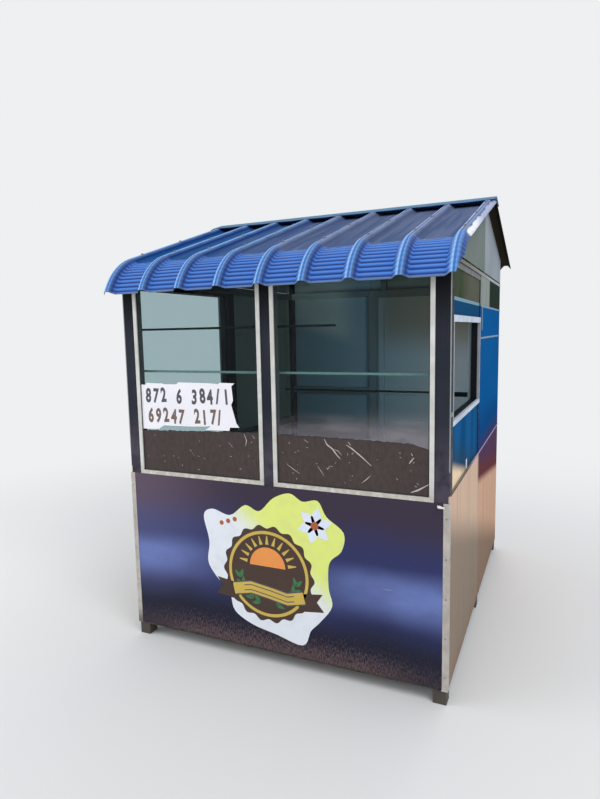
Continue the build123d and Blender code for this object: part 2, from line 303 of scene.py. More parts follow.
def front_panel_print():
    """Dark printed film with a soft light band that sinks to the right, splashed at the foot."""
    coat = Coat("front_panel_print")
    warp = coat.patches(0.2, 0.8, 1.6, 2.0, start=-0.03, end=0.03)
    level = coat.plus(coat.above(foot + 0.019), coat.times(coat.x, 0.012), warp)
    leftward = coat.span(coat.x, -0.1, -0.75)
    faded = coat.mix(leftward, (56, 47, 63), (88, 74, 90))
    deep = coat.mix(leftward, (46, 51, 94), (70, 74, 116))
    coat.tone = coat.mix(coat.span(level, 0.47, 0.71), deep, faded)
    band = coat.times(coat.span(level, 0.19, 0.36), coat.span(level, 0.49, 0.38))
    ends = coat.most(coat.span(coat.x, 0.0, 0.62, 0.0, 0.92), leftward)
    coat.layer((106, 122, 180), band, ends, coat.patches(0.25, 0.7, 7.0, 4.0, (1, 1, 2), start=0.75))
    coat.layer((27, 29, 47), coat.span(level, 0.30, 0.09))
    rise = coat.rise(foot, 0.15, 0.0, 0.0, 0.22)
    specks = coat.span(coat.plus(coat.noise(190.0, 8.0, (1, 1, 0.35)), rise), 0.50, 0.86)
    reach = coat.rise(foot, 0.22, 0.06)
    coat.layer((122, 98, 92), specks, reach, coat.span(coat.out_from_middle(), 0.38, 0.70, 0.62, 0.22))
    coat.layer((130, 130, 156), coat.patches(0.66, 0.8, 55.0, 10.0, shift=2.0), 0.2)
    waves = coat.bump(coat.noise(3.0, 1.0), 0.002, 0.3)
    return coat.surface(coat.noise(6.0, 6.0), 0.3, 0.45, waves, shine=0.15)


# Finishes of the walls

# Room side: two close tones, and the one that they turn to in the middle
wall_inside = ((154, 196, 218), (168, 206, 228), (154, 196, 218))
door_inside = ((180, 195, 203), (194, 206, 213), (154, 196, 218))
# Rails on the room side: a darker copy of the wall tones, which is painted shade.
rail_inside_shaded = ((116, 142, 150), (128, 152, 160), (116, 142, 150))
splash_brown = (134, 106, 84)


def inner_tone(coat, first, second, middle):
    """Cladding seen from inside, with a pale foot, painted light on the upper left, painted shade on the
    upper right and on the left wall, and the rear wall's dark joints.
    """
    coat.tone = coat.blend(first, second, 1.5, 3.0)
    coat.layer(middle, coat.span(coat.x, 0.40, -0.05, 0.0, 0.55))
    coat.layer((208, 210, 216), coat.span(coat.z, 0.90, 0.74))
    # Painted shade: the upper right of the walls is darkened and tinted olive.
    shade_upper_right = coat.times(coat.span(coat.z, 1.25, 1.55), coat.span(coat.x, -0.14, 0.06))
    coat.layer((0.64, 0.50, 0.36, 1.0), shade_upper_right, mode="MULTIPLY")
    # Painted light: a pale patch on the upper left of the walls, with a slanting lower edge.
    slant = coat.plus(coat.z, coat.times(coat.x, 0.3))
    coat.layer((232, 255, 255), coat.span(slant, 1.28, 1.42), coat.span(coat.x, -0.18, -0.40), 0.85)
    # Painted shade: the inner side of the left wall is darker and greener.
    coat.layer((139, 158, 148), coat.span(coat.x, -half + 0.1, -half))
    cross = coat.within(coat.z, rear_seam - 0.011, rear_seam + 0.004)
    wide = coat.times(coat.within(coat.z, rear_seam - 0.030, rear_seam + 0.004), coat.over(coat.x, 0.42))
    corner = coat.within(coat.x, -half + 0.034, -half + 0.062)
    post_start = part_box("door_post")[0].x
    post_edge = coat.times(coat.within(coat.x, post_start, post_start + 0.006), 0.4)
    joints = coat.most(cross, wide, corner, post_edge)
    coat.layer((26, 32, 40), coat.over(coat.y, back - 0.08), joints)


def clad(name, outer, outside, tones, streaks, least, most, shine):
    """Cladding: outer lays on its outside colours, which show where outside says so."""
    coat = Coat(name)
    inner_tone(coat, *tones)
    inside = coat.tone
    outer(coat)
    coat.tone = coat.mix(outside(coat), inside, coat.tone)
    waves = coat.bump(coat.noise(4.0, 1.0), 0.0015, 0.3)
    return coat.surface(coat.noise(*streaks), least, most, waves, shine)


def clad_side(name, outer):
    def outside(coat):
        return coat.over(coat.out_from_middle(), half - skin + 0.0003)

    return clad(name, outer, outside, wall_inside, (90.0, 4.0, (1, 1, 0.02)), 0.34, 0.5, 0.0)


def clad_rear(name, face, tones=wall_inside):
    def outside(coat):
        return coat.over(coat.y, face)

    return clad(name, rear_colours, outside, tones, (40.0, 4.0, (1, 1, 0.05)), 0.36, 0.55, 0.2)


def stain(coat, share):
    """Purple stain over the sill of the right wall, which slopes down to the rear."""
    level = coat.plus(coat.above(side_sill), coat.times(coat.behind_front(), 0.139))
    over_sill = coat.rise(side_sill, 0.10, 0.0)
    patch = coat.times(coat.span(level, -0.06, 0.0), over_sill, coat.over(coat.x, 0.0))
    purple = coat.mix(coat.span(level, 0.12, 0.0), (72, 48, 82), (92, 46, 54))
    coat.layer(purple, patch, coat.span(coat.behind_front(), 0.80, 0.90), share)


def bay_colours(coat):
    """Blue lower sheets under a silver one that turns dark to the rear."""
    streaks = coat.noise(20.0, 4.0, (1, 1, 0.06))
    pale = coat.mix(streaks, (150, 156, 152), (118, 126, 122))
    dark = coat.mix(streaks, (52, 62, 56), (34, 42, 36))
    silver = coat.mix(coat.span(coat.behind_front(), 1.20, 1.26), pale, dark)
    coat.tone = coat.blend((22, 90, 150), (14, 80, 138), 2.2, 3.0)
    coat.layer((22, 60, 112), coat.rise(side_sill, 0.28, 0.10, 0.0, 0.6))
    coat.layer(silver, coat.over(coat.z, upper_joint))
    stain(coat, 0.65)


def side_panel_colours(coat):
    """Faced sheet, with a painted reflection of sandy ground towards its top, and pinkish brown behind the
    joint.
    """
    coat.tone = coat.blend((150, 134, 120), (138, 124, 112), 1.5, 3.0)
    # Painted reflection of the sandy ground: a warm band whose lower edge slopes down to the rear.
    sand_reflection = coat.span(coat.plus(coat.above(foot), coat.times(coat.behind_front(), 0.33)), 0.58, 0.78)
    coat.layer((208, 180, 158), sand_reflection, 0.95)
    coat.layer((112, 98, 92), coat.patches(0.45, 0.75, 120.0, 5.0, (1, 1, 0.01), end=0.22))
    # Pink runs, laid only where the painted reflection is.
    runs = coat.patches(0.56, 0.64, 34.0, 2.0, (1, 1, 0.01), shift=6.0)
    coat.layer((176, 128, 118), runs, sand_reflection, 0.5)
    coat.layer((0.97, 0.86, 0.80, 1.0), coat.over(coat.y, side_seam), mode="MULTIPLY")
    stain(coat, 0.95)
    coat.layer(splash_brown, coat.rise(foot, 0.13, 0.0), coat.patches(0.4, 0.65, 35.0, 8.0), 0.6)


def gable_colours(coat):
    """Greenish grey front sheet and a paler, streaked rear one."""
    coat.tone = coat.blend((122, 132, 128), (104, 114, 112), 4.0)
    coat.layer(coat.blend((160, 168, 176), (128, 138, 146), 3.0), coat.over(coat.y, roof_high.y - 0.006))
    coat.layer((88, 94, 100), coat.patches(0.45, 0.75, 60.0, 4.0, (1, 1, 0.02), end=0.3))


def rear_colours(coat):
    coat.tone = coat.blend((150, 152, 152), (130, 134, 138), 1.8, 3.0)
    coat.layer((108, 106, 106), coat.patches(0.45, 0.75, 100.0, 4.0, (1, 1, 0.02), end=0.35))
    coat.layer(splash_brown, coat.rise(foot, 0.19, 0.0), coat.patches(0.38, 0.65, 30.0, 8.0), 0.65)


# Finishes of the roof


def aged_blue(coat):
    """Chalked paint with streaks down the slope, bluer to the left."""
    streaks = coat.patches(0.35, 0.7, 26.0, 6.0, (1, 0.06, 0.06))
    chalk = coat.mix(streaks, (74, 90, 124), (98, 108, 138))
    blue_side = coat.mix(streaks, (30, 78, 138), (50, 94, 146))
    coat.tone = coat.mix(coat.span(coat.x, -0.75, 0.15), blue_side, chalk)
    coat.layer((132, 134, 156), coat.patches(0.58, 0.78, 60.0, 8.0, shift=1.0), 0.3)


def front_roof_paint():
    """Fresh blue over the bend, aged above it, with pale lines along the crest edges that are partly wear
    and partly painted highlight, painted shade on the right flanks and in the crimp grooves, and a painted
    highlight on the crests to the left and on the hem.
    """
    coat = Coat("roof_paint_front", (62, 116, 200), (84, 134, 214), 4.0)
    crest, wear_and_highlight, flank, groove, hem = map(coat.attribute, ("crest", "edge", "flank", "groove", "hem"))
    coat.layer((48, 102, 172), crest, 0.75)
    # Painted shade on the right flank of each rib.
    coat.layer((14, 48, 112), flank, 0.95)
    # Painted highlight along the crest edges over the bend.
    coat.layer((150, 192, 232), wear_and_highlight, 0.8)
    # Painted shade in the grooves of the crimps.
    coat.layer((8, 30, 96), groove, 0.95)
    fresh = coat.tone
    aged_blue(coat)
    leftward = coat.span(coat.x, 0.15, -0.45)
    chalked = coat.mix(coat.span(coat.x, -0.6, 0.1), (44, 84, 142), (112, 122, 158))
    coat.layer(chalked, crest, 0.6)
    # Painted highlight on the crests towards the left.
    coat.layer((112, 154, 206), crest, leftward, 0.9)
    # Painted shade on the right flanks of the aged slope, strongest to the left.
    shade = coat.mix(leftward, (58, 68, 98), (14, 46, 108))
    coat.layer(shade, flank, coat.span(leftward, 0.0, 1.0, 0.5, 0.95))
    # Pale lines along the crest edges of the aged slope: partly wear, partly painted highlight.
    lines = coat.mix(coat.span(coat.x, -0.4, 0.2), (156, 194, 238), (164, 182, 216))
    coat.layer(lines, wear_and_highlight, coat.patches(0.3, 0.6, 50.0, 6.0, (1, 0.2, 0.2), shift=4.0, start=0.5))
    limit = coat.plus(coat.y, coat.patches(0.2, 0.8, 30.0, 6.0, start=-0.02, end=0.02))
    weathered = coat.span(limit, front + 0.075, front + 0.125)
    coat.tone = coat.mix(weathered, fresh, coat.tone)
    # Painted highlight along the hem at the foot of the sheet.
    coat.layer((96, 112, 140), hem)
    verge = coat.plus(coat.x, coat.patches(0.3, 0.7, 14.0, 4.0, shift=5.0, start=-0.003, end=0.003))
    outer = coat.times(coat.span(verge, half + 0.034, half + 0.039), weathered)
    bare = coat.mix(coat.span(coat.y, front + 0.55, front + 0.25), (168, 174, 202), (226, 228, 238))
    coat.layer(bare, outer, coat.patches(0.3, 0.5, 120.0, 6.0, shift=7.0, start=0.55))
    gloss = coat.span(weathered, 0.0, 1.0, 0.25, 0.0)
    return coat.surface(coat.noise(12.0, 6.0), 0.45, 0.65, coat.grain(0.0005, 90.0, 3.0), gloss)


def rear_roof_paint():
    """Aged blue above and a dark brown underside, which is painted shade."""
    coat = Coat("roof_paint_rear")
    aged_blue(coat)
    facing = coat.node("ShaderNodeNewGeometry").outputs["Normal"]
    up = coat.node("ShaderNodeSeparateXYZ", {0: facing}).outputs["Z"]
    # Painted shade: dark brown on the downward faces.
    coat.layer((50, 46, 38), coat.under(up, 0.0))
    return coat.surface(coat.noise(12.0, 6.0), 0.45, 0.65, coat.grain(0.0005, 90.0, 3.0), 0.0)


def ridge_paint():
    """Weathered pale blue cap, with a painted reflection of the sky along its peak, and dark on the hems.
    """
    coat = Coat("ridge_paint", (92, 130, 164), (120, 152, 180), 3.0)
    coat.grime((72, 92, 118), 0.4, 14.0)
    coat.layer((20, 42, 78), coat.attribute("hem"))
    # Painted reflection of the sky along the peak.
    coat.layer((150, 186, 206), coat.attribute("peak"), 0.8)
    return coat.surface(coat.noise(15.0), 0.45, 0.6, coat.grain(0.0005, 80.0, 3.0), 0.0)


# Finishes of metal, board, rubber and glass


def drawn_metal(coat, **more):
    """Light dirt and fine upright grain over the tone."""
    coat.grime((120, 110, 100), 0.35, 22.0)
    grain = coat.grain(0.0003, 140.0, 3.0, (1, 1, 0.05))
    return coat.surface(coat.noise(30.0, 4.0, (1, 1, 0.1)), 0.36, 0.55, grain, **more)


def front_trim_metal():
    """Pale corner trims that darken at the foot, and a dark strip under the panel."""
    coat = Coat("front_trim_metal", (200, 192, 184), (180, 174, 168), 4.0)
    between = coat.under(coat.out_from_middle(), half - 0.024)
    strip = coat.times(between, coat.under(coat.above(foot), 0.012))
    low = coat.times(coat.rise(foot, 0.09, 0.0), coat.span(coat.x, 0.0, -0.5), 0.8)
    coat.layer((34, 32, 36), coat.most(strip, low))
    return drawn_metal(coat, metallic=0.3)


def side_trim_metal():
    """Grey strip under the gable, bluish joint strips and a sill strip that is dark in front."""
    coat = Coat("side_trim_metal")
    away = coat.behind_front()
    coat.tone = coat.mix(coat.span(away, 0.45, 0.75), (104, 92, 76), (160, 158, 196))
    coat.layer(coat.blend((118, 150, 180), (136, 164, 190), 6.0), coat.over(coat.z, side_sill + 0.1))
    top = coat.mix(coat.span(away, 0.2, 1.5), (120, 118, 112), (176, 180, 186))
    coat.layer(top, coat.over(coat.z, eave - 0.05))
    return drawn_metal(coat, shine=0.0)


def film_paint():
    """Brown film with soft scuffs and fine pale specks."""
    coat = Coat("film_brown", (78, 68, 66), (64, 57, 55), 6.0)
    coat.layer((50, 44, 42), coat.patches(0.35, 0.7, 60.0, 8.0, (1, 1, 0.5)), 0.4)
    coat.layer((150, 142, 138), coat.patches(0.66, 0.74, 240.0, 4.0, shift=3.0), 0.6)
    return coat.surface(coat.noise(12.0), 0.35, 0.55, shine=0.1)


def deck_board():
    coat = Coat("deck_board")
    grain = coat.noise(28.0, 8.0, (0.06, 1, 1))
    coat.tone = coat.mix(coat.span(grain, 0.3, 0.7), (120, 96, 72), (150, 124, 94))
    coat.grime((84, 72, 62), 0.5, 7.0)
    return coat.surface(grain, 0.6, 0.8, coat.bump(grain, 0.001, 0.5))


def pad_rubber():
    coat = Coat("pad_rubber", (46, 44, 44), (92, 82, 72), 20.0, 6.0)
    return coat.surface(coat.noise(15.0), 0.6, 0.85, coat.bump(coat.noise(120.0), 0.001, 0.5))


def hinge_steel():
    coat = Coat("hinge_steel", (172, 172, 170), (140, 138, 134), 30.0)
    coat.grime((118, 84, 62), 0.35, 40.0)
    return coat.surface(coat.noise(60.0), 0.28, 0.48, metallic=0.85)


def clear_glass():
    """Thin pane: light passes straight through, with gloss, a little dust and a bloom at the foot."""
    coat = Coat("clear_glass")
    through = coat.node("ShaderNodeBsdfTransparent", {"Color": (0.78, 0.84, 0.85, 1.0)}).outputs[0]
    gloss = coat.node("ShaderNodeBsdfGlossy", {"Roughness": 0.03}).outputs[0]
    slant = coat.node("ShaderNodeLayerWeight", {"Blend": 0.5}).outputs["Facing"]
    edge = coat.span(coat.math("POWER", slant, 4.0), 0.0, 1.0, 0.006, 0.9)
    dust = coat.diffuse(coat.blend((96, 112, 120), (128, 140, 146), 3.0))
    dusty = coat.patches(0.35, 0.75, 8.0, 8.0, (1, 1, 0.4), start=0.004, end=0.012)
    ripple = coat.patches(0.2, 0.8, 12.0, 6.0, (0.4, 1, 3), start=-0.02, end=0.02)
    level = coat.plus(coat.above(counter), ripple, coat.times(coat.x, -0.08))
    cloud = coat.patches(0.3, 0.7, 9.0, 5.0, (1, 1, 2), shift=8.0, start=0.16, end=0.32)
    haze = coat.times(coat.span(level, 0.32, 0.17), cloud, coat.over(coat.x, 0.0))
    pane = coat.join(dusty, coat.join(edge, through, gloss), dust)
    return coat.close(coat.join(haze, pane, coat.diffuse((172, 160, 166))))


def blue_glass():
    """Pane faced with blue film up to a level line, clear above it with a painted reflection of trees, and
    sandy at its foot.
    """
    coat = Coat("blue_film_glass")
    cloud = coat.patches(0.3, 0.7, 4.0, 0.0, (1, 1.5, 0.5))
    coat.tone = coat.mix(cloud, (20, 74, 120), (30, 88, 138))
    coat.layer((26, 70, 106), coat.over(coat.z, counter + 0.4))
    # Painted reflection of trees on the clear glass above the film, plainer to the rear.
    tree_reflection = coat.blend((34, 50, 28), (84, 92, 76), 7.0, 6.0)
    plain_reflection = coat.blend((72, 76, 64), (96, 98, 88), 5.0)
    clear = coat.mix(coat.span(coat.behind_front(), 0.25, 0.5), tree_reflection, plain_reflection)
    coat.layer(clear, coat.over(coat.z, upper_joint))
    coat.layer((126, 158, 176), coat.within(coat.z, upper_joint, upper_joint + 0.014), 0.8)
    level = coat.plus(coat.above(side_sill), coat.times(coat.behind_front(), 0.259))
    coat.layer((52, 66, 66), coat.span(level, 0.27, 0.15, 0.0, 0.5))
    coat.layer(coat.blend((208, 182, 150), (248, 226, 194), 30.0, 6.0), coat.span(level, 0.150, 0.095))
    return coat.surface(coat.noise(9.0, 6.0), 0.25, 0.4, shine=0.0)


def plain(name, first, second, roughness, scale=12.0, **more):
    """Small pieces: two close tones of one colour with a fine grain."""
    coat = Coat(name, first, second, scale, 5.0)
    grain = coat.grain(0.0003, scale * 8, 3.0)
    return coat.surface(coat.noise(scale * 2), roughness - 0.06, roughness + 0.08, grain, **more)


steel = hinge_steel()
gasket_black = plain("gasket_black", (26, 26, 28), (40, 40, 42), 0.5)
pale_line = plain("pale_line", (150, 156, 156), (120, 126, 128), 0.5, 40.0, shine=0.0)
scrap_white = plain("scrap_white", (226, 224, 220), (204, 200, 194), 0.5)
ink_dark = plain("ink_dark", (54, 52, 60), (92, 88, 96), 0.6, 60.0)


# Materials of the fixed parts


def dress(material, *names):
    for name in names:
        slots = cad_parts[name].data.materials
        slots.clear()
        slots.append(material)


door_low, door_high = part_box("door_frame")
door_middle = (door_low.y + door_high.y) / 2
front_frame = ("post_front_left", "post_front_right", "front_mullion", "front_sill_rail", "front_top_rail")
grey_frame = ("base_frame", "side_sill_rails", "side_top_rails", "ridge_beam", "rafters")
rear_frame = ("rear_mid_rail", "rear_top_rail", "door_post", "door_stops", "post_rear_left", "roof_studs")
inner_black = plain("inner_black", (16, 20, 24), (28, 33, 40), 0.6, shine=0.1)

dress(post_paint(), "corner_covers", *front_frame)
dress(inner_black, "hanging_rod", "post_rear_right")
dress(side_post_paint(), "side_posts")
dress(clad_rear("door_cladding", door_middle, door_inside), "door_frame", "door_panels")
dress(grey_frame_paint(), *grey_frame)
dress(window_frame_paint(), "front_window_frames")
dress(side_frame_paint(), "hatch_frame", "left_window_frame")
dress(front_panel_print(), "front_lower_panel")
dress(clad_side("side_lower_cladding", side_panel_colours), "left_lower_panels", "right_lower_panels")
dress(clad_side("rear_bay_cladding", bay_colours), "left_rear_panels", "right_rear_panels")
dress(clad_side("gable_cladding", gable_colours), "gable_left", "gable_right")
dress(clad_rear("rear_cladding", back - skin / 2), "rear_wall_panels", "rear_top_panel")
# The room side of the rear frame takes the darker rail tones, which are painted shade.
dress(clad_rear("rear_frame_paint", back - skin - 0.0005, rail_inside_shaded), *rear_frame)
dress(front_trim_metal(), "front_trims")
dress(side_trim_metal(), "side_trims")
dress(plain("display_rail_metal", (150, 176, 168), (124, 150, 146), 0.4), "display_rail")
dress(clear_glass(), "front_glass_left", "front_glass_right", "left_window_glass")
dress(blue_glass(), "right_side_glass")
dress(rear_roof_paint(), "roof_rear")
dress(deck_board(), "floor_deck")
dress(pad_rubber(), "feet")
dress(steel, "door_hinge_pins", "door_hinge_leaves", "door_handle")


# Making pieces


def make_mesh(name, points, faces, material, smooth=True, sharp=30.0):
    mesh = bpy.data.meshes.new(name)
    mesh.from_pydata(points, [], faces)
    mesh.validate()
    mesh.materials.append(material)
    mesh.polygons.foreach_set("use_smooth", [smooth] * len(mesh.polygons))
    if smooth:
        mesh.set_sharp_from_angle(angle=math.radians(sharp))
    piece = bpy.data.objects.new(name, mesh)
    bpy.context.scene.collection.objects.link(piece)
    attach(piece, "cabin")
    return piece


def grid(rows, width):
    """Faces of a sheet whose points are given row by row."""
    faces = []
    for row in range(rows - 1):
        for column in range(width - 1):
            corner = row * width + column
            faces.append((corner, corner + width, corner + width + 1, corner + 1))
    return faces


def mark(piece, shares):
    """Named values at the points of a piece, for its finish."""
    for name, values in shares.items():
        piece.data.attributes.new(name, "FLOAT", "POINT").data.foreach_set("value", values)


def thicken(piece, thickness):
    modifier = piece.modifiers.new("thickness", "SOLIDIFY")
    modifier.thickness = thickness
    modifier.offset = -1.0
    return modifier


class Solids:
    """Many small closed forms gathered into one mesh."""

    def __init__(self, smooth=True):
        self.points = []
        self.faces = []
        self.smooth = smooth

    def add(self, points, faces):
        base = len(self.points)
        self.points.extend(points)
        self.faces.extend([tuple(base + index for index in face) for face in faces])

    def tube(self, loops, ring=False):
        """Form through loops of as many points each, closed by flat ends or into a ring."""
        count = len(loops[0])
        top = (len(loops) - 1) * count
        faces = [] if ring else [tuple(reversed(range(count))), tuple(range(top, top + count))]
        for level in range(len(loops) if ring else len(loops) - 1):
            low = level * count
            high = (level + 1) % len(loops) * count
            for index in range(count):
                after = (index + 1) % count
                faces.append((low + index, low + after, high + after, high + index))
        self.add([tuple(point) for loop in loops for point in loop], faces)

    def box(self, low, high, bevel=0.0):
        """Box along its longest side, with its four long edges cut back by the bevel."""
        size = [high[axis] - low[axis] for axis in range(3)]
        along = size.index(max(size))
        first, second = [axis for axis in range(3) if axis != along]
        cut = min(bevel, size[first] / 3, size[second] / 3)
        outline = []
        for index, (right, up) in enumerate(((0, 0), (1, 0), (1, 1), (0, 1))):
            corner = (low[first] + right * size[first], low[second] + up * size[second])
            beside = (corner[0], corner[1] + (1 - 2 * up) * cut)
            ahead = (corner[0] + (1 - 2 * right) * cut, corner[1])
            ends = (beside, ahead) if index % 2 == 0 else (ahead, beside)
            outline.extend(ends if cut else [corner])
        loops = []
        for level in (low[along], high[along]):
            loop = []
            for across, up in outline:
                place = {along: level, first: across, second: up}
                loop.append((place[0], place[1], place[2]))
            loops.append(loop)
        self.tube(loops[::-1] if along == 1 else loops)

    def turned(self, centre, out, profile, sides=10):
        """Form turned about the direction out, from (radius, height) pairs, the last at its top."""
        out = Vector(out).normalized()
        side = out.orthogonal().normalized()
        other = out.cross(side)
        loops = []
        for radius, height in profile:
            loop = []
            for index in range(sides):
                angle = 2 * math.pi * index / sides
                spoke = side * math.cos(angle) + other * math.sin(angle)
                loop.append(Vector(centre) + out * height + spoke * radius)
            loops.append(loop)
        self.tube(loops)

    def make(self, name, material, slot):
        return make_mesh(name, self.points, self.faces, material, self.smooth)


# Front roof sheet: ribs down the slope and crimps across the bend

slope_down = Vector((0, -math.cos(front_pitch), -math.sin(front_pitch)))
slope_up = Vector((0, -math.sin(front_pitch), math.cos(front_pitch)))
roof_start = Vector((0, roof_high.y - (rib_height + sheet) * math.sin(front_pitch), roof_high.z))
bend_depth = bend_radius * (math.sin(bend_end_angle) - math.sin(front_pitch))
bend_start_y = roof_low.y + drip * math.cos(bend_end_angle) + bend_depth
slope_length = (roof_start.y - bend_start_y) / math.cos(front_pitch)
bend_length = bend_radius * (bend_end_angle - front_pitch)
sheet_length = slope_length + bend_length + drip
bend_centre = roof_start + slope_down * slope_length - slope_up * bend_radius
roof_half = roof_high.x
bays = round((2 * roof_half - rib_base) / rib_spacing)
rib_pitch = (2 * roof_half - rib_base) / bays
rib_centres = [-roof_half + rib_base / 2 + index * rib_pitch for index in range(bays + 1)]
peak_y = roof_start.y + ridge_gap * math.cos(front_pitch)

slope_rows = 36
pan_steps = 6
crimp_count = 10
crimp_rows = crimp_count * 10
crimp_first_height = 0.0015
crimp_last_height = 0.0055
crimp_length = bend_length / crimp_count
notch_depth = 0.0008
dent_depth = 0.0008
hem_length = 0.006
rounding = 0.0015
# Width and fade of the pale crest-edge lines, which are partly wear and partly painted highlight.
wear_and_highlight_width = 0.004
wear_and_highlight_fade = 0.002
edge_wear = 0.004
tear_depth = 0.020
tear_start = 0.65


def along_roof(distance):
    """Point of the crest line and its outward direction, a distance down from the ridge."""
    if distance <= slope_length:
        return roof_start + slope_down * distance, slope_up
    angle = front_pitch + min(distance - slope_length, bend_length) / bend_radius
    outward = Vector((0, -math.sin(angle), math.cos(angle)))
    past = max(0.0, distance - slope_length - bend_length)
    point = bend_centre + outward * bend_radius + Vector((0, -math.cos(angle), -math.sin(angle))) * past
    return point, outward


def rib_columns():
    """Stations across the sheet: place, depth below the crest, shares of crest, edge and right flank."""
    reach = rib_base / 2
    top = rib_crest / 2
    wear_and_highlight = top - rounding - wear_and_highlight_width
    side = [
        (reach, 1.0, 0.0, 0.0),
        ((reach + top) / 2, 0.5, 0.0, 0.0),
        (top + rounding, 0.06, 0.4, 0.7),
        (top - rounding, 0.0, 1.0, 1.0),
        (wear_and_highlight, 0.0, 1.0, 1.0),
        (wear_and_highlight - wear_and_highlight_fade, 0.0, 1.0, 0.0),
    ]
    columns = []
    for index, centre in enumerate(rib_centres):
        for out, depth, crest, edge in side:
            columns.append((centre - out, depth, crest, edge, 0.0))
        for out, depth, crest, edge in reversed(side):
            columns.append((centre + out, depth, crest, edge * 0.4, 1.0 if 0.0 < depth < 1.0 else 0.0))
        if index < bays:
            for step in range(1, pan_steps):
                along_pan = (rib_pitch - rib_base) * step / pan_steps
                columns.append((centre + reach + along_pan, 1.0, 0.0, 0.0, 0.0))
    return columns


def crimp(distance):
    """Height of a pressed fold at a distance down the sheet, and how deep in a groove that is."""
    past = distance - slope_length
    if past <= 0 or past >= bend_length:
        return 0.0, 0.0
    wave = (0.5 - 0.5 * math.cos(2 * math.pi * past / crimp_length)) ** 0.8
    share = past / bend_length
    height = crimp_first_height + (crimp_last_height - crimp_first_height) * share
    return height * wave, (1 - wave) * min(1.0, 0.5 + share)


def torn_away(distance):
    """How far the outer flank of the last rib falls short of the roof's right edge, over the bend."""
    share = max(0.0, (distance - slope_length) / (bend_length + drip))
    torn = max(0.0, (share - tear_start) / (1 - tear_start))
    return edge_wear * min(1.0, share * 5) + tear_depth * torn


def column_at(columns, x):
    """Values of the rib profile at a place between its stations."""
    for before, after in zip(columns, columns[1:]):
        if x <= after[0]:
            share = (x - before[0]) / (after[0] - before[0])
            return tuple(low + (high - low) * share for low, high in zip(before, after))
    return columns[-1]


def make_front_sheet():
    rows = [slope_length * index / slope_rows for index in range(slope_rows)]
    rows += [slope_length + bend_length * index / crimp_rows for index in range(crimp_rows + 1)]
    rows += [sheet_length - hem_length - 0.001, sheet_length - hem_length, sheet_length]
    columns = rib_columns()
    last = rib_centres[-1]
    points = []
    # For the finish: the right flank and groove shares carry painted shade, the hem share a painted
    # highlight, and the edge share pale lines of wear and painted highlight.
    shares = {"crest": [], "edge": [], "flank": [], "groove": [], "hem": []}
    for distance in rows:
        line, outward = along_roof(distance)
        fold, groove = crimp(distance)
        narrowing = 1 - torn_away(distance) / (roof_half - last)
        for column in columns:
            if column[0] > last:
                column = column_at(columns, last + (column[0] - last) * narrowing)
            x, depth, crest, edge, flank = column
            dent = dent_depth * (1 + math.sin(9 * x + 7 * distance)) * depth
            inward = depth * (rib_height - fold) + notch_depth * groove * (1 - depth) + dent
            place = line - outward * inward
            points.append((x, place.y, place.z))
            hem = depth if distance > sheet_length - hem_length - 0.0005 else 0.0
            values = (crest, edge, flank, groove * (0.2 + 0.8 * depth), hem)
            for kept, value in zip(shares.values(), values):
                kept.append(value)
    faces = grid(len(rows), len(columns))
    piece = make_mesh("roof_front_sheet", points, faces, front_roof_paint(), sharp=24.0)
    mark(piece, shares)
    # Dark underside of the sheet: painted shade.
    piece.data.materials.append(plain("roof_underside_shade", (44, 46, 50), (58, 58, 58), 0.6))
    piece.data.materials.append(plain("roof_cut_edge", (92, 104, 124), (118, 128, 144), 0.5))
    modifier = thicken(piece, 0.0012)
    modifier.material_offset = 1
    modifier.material_offset_rim = 2
    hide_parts("roof_front")


def cap_flank(way, reach, pitch):
    """One side of the cap from its hem up: y, z, share of the way out and share of the hem."""
    steps = 5
    hem = 0.007
    edge_y = peak_y + way * reach
    edge_z = cap_high.z - reach * math.tan(pitch)
    line = [
        (edge_y - way * 0.001, edge_z - hem, 1.0, 1.0),
        (edge_y + way * 0.0001, edge_z - 0.0002, 1.0, 1.0),
    ]
    for index in range(steps):
        out = 1 - index / steps
        line.append((peak_y + way * reach * out, cap_high.z - reach * out * math.tan(pitch), out, 0.0))
    return line


def make_ridge_cap():
    """Folded cap over the ridge with a hem at each edge, sagging a little between the ribs."""
    stations = 161
    sag_depth = 0.0015
    clearance = 0.0002
    profile = cap_flank(-1, peak_y - cap_low.y, front_pitch) + [(peak_y, cap_high.z, 0.0, 0.0)]
    profile += cap_flank(1, cap_high.y - peak_y, rear_pitch)[::-1]
    points = []
    for index in range(stations):
        x = -roof_half + 2 * roof_half * index / (stations - 1)
        nearest = min(abs(x - centre) for centre in rib_centres)
        sag = sag_depth * (0.5 - 0.5 * math.cos(2 * math.pi * nearest / rib_pitch))
        points += [(x, y, z - sag * out - clearance) for y, z, out, hem in profile]
    faces = grid(stations, len(profile))
    piece = make_mesh("ridge_cap_sheet", points, faces, ridge_paint(), sharp=20.0)
    hems = [hem for y, z, out, hem in profile]
    # Peak share, where the finish paints a reflection of the sky.
    peaks = [1.0 if out == 0.0 else 0.0 for y, z, out, hem in profile]
    mark(piece, {"hem": hems * stations, "peak": peaks * stations})
    thicken(piece, 0.0008)
    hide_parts("ridge_cap")


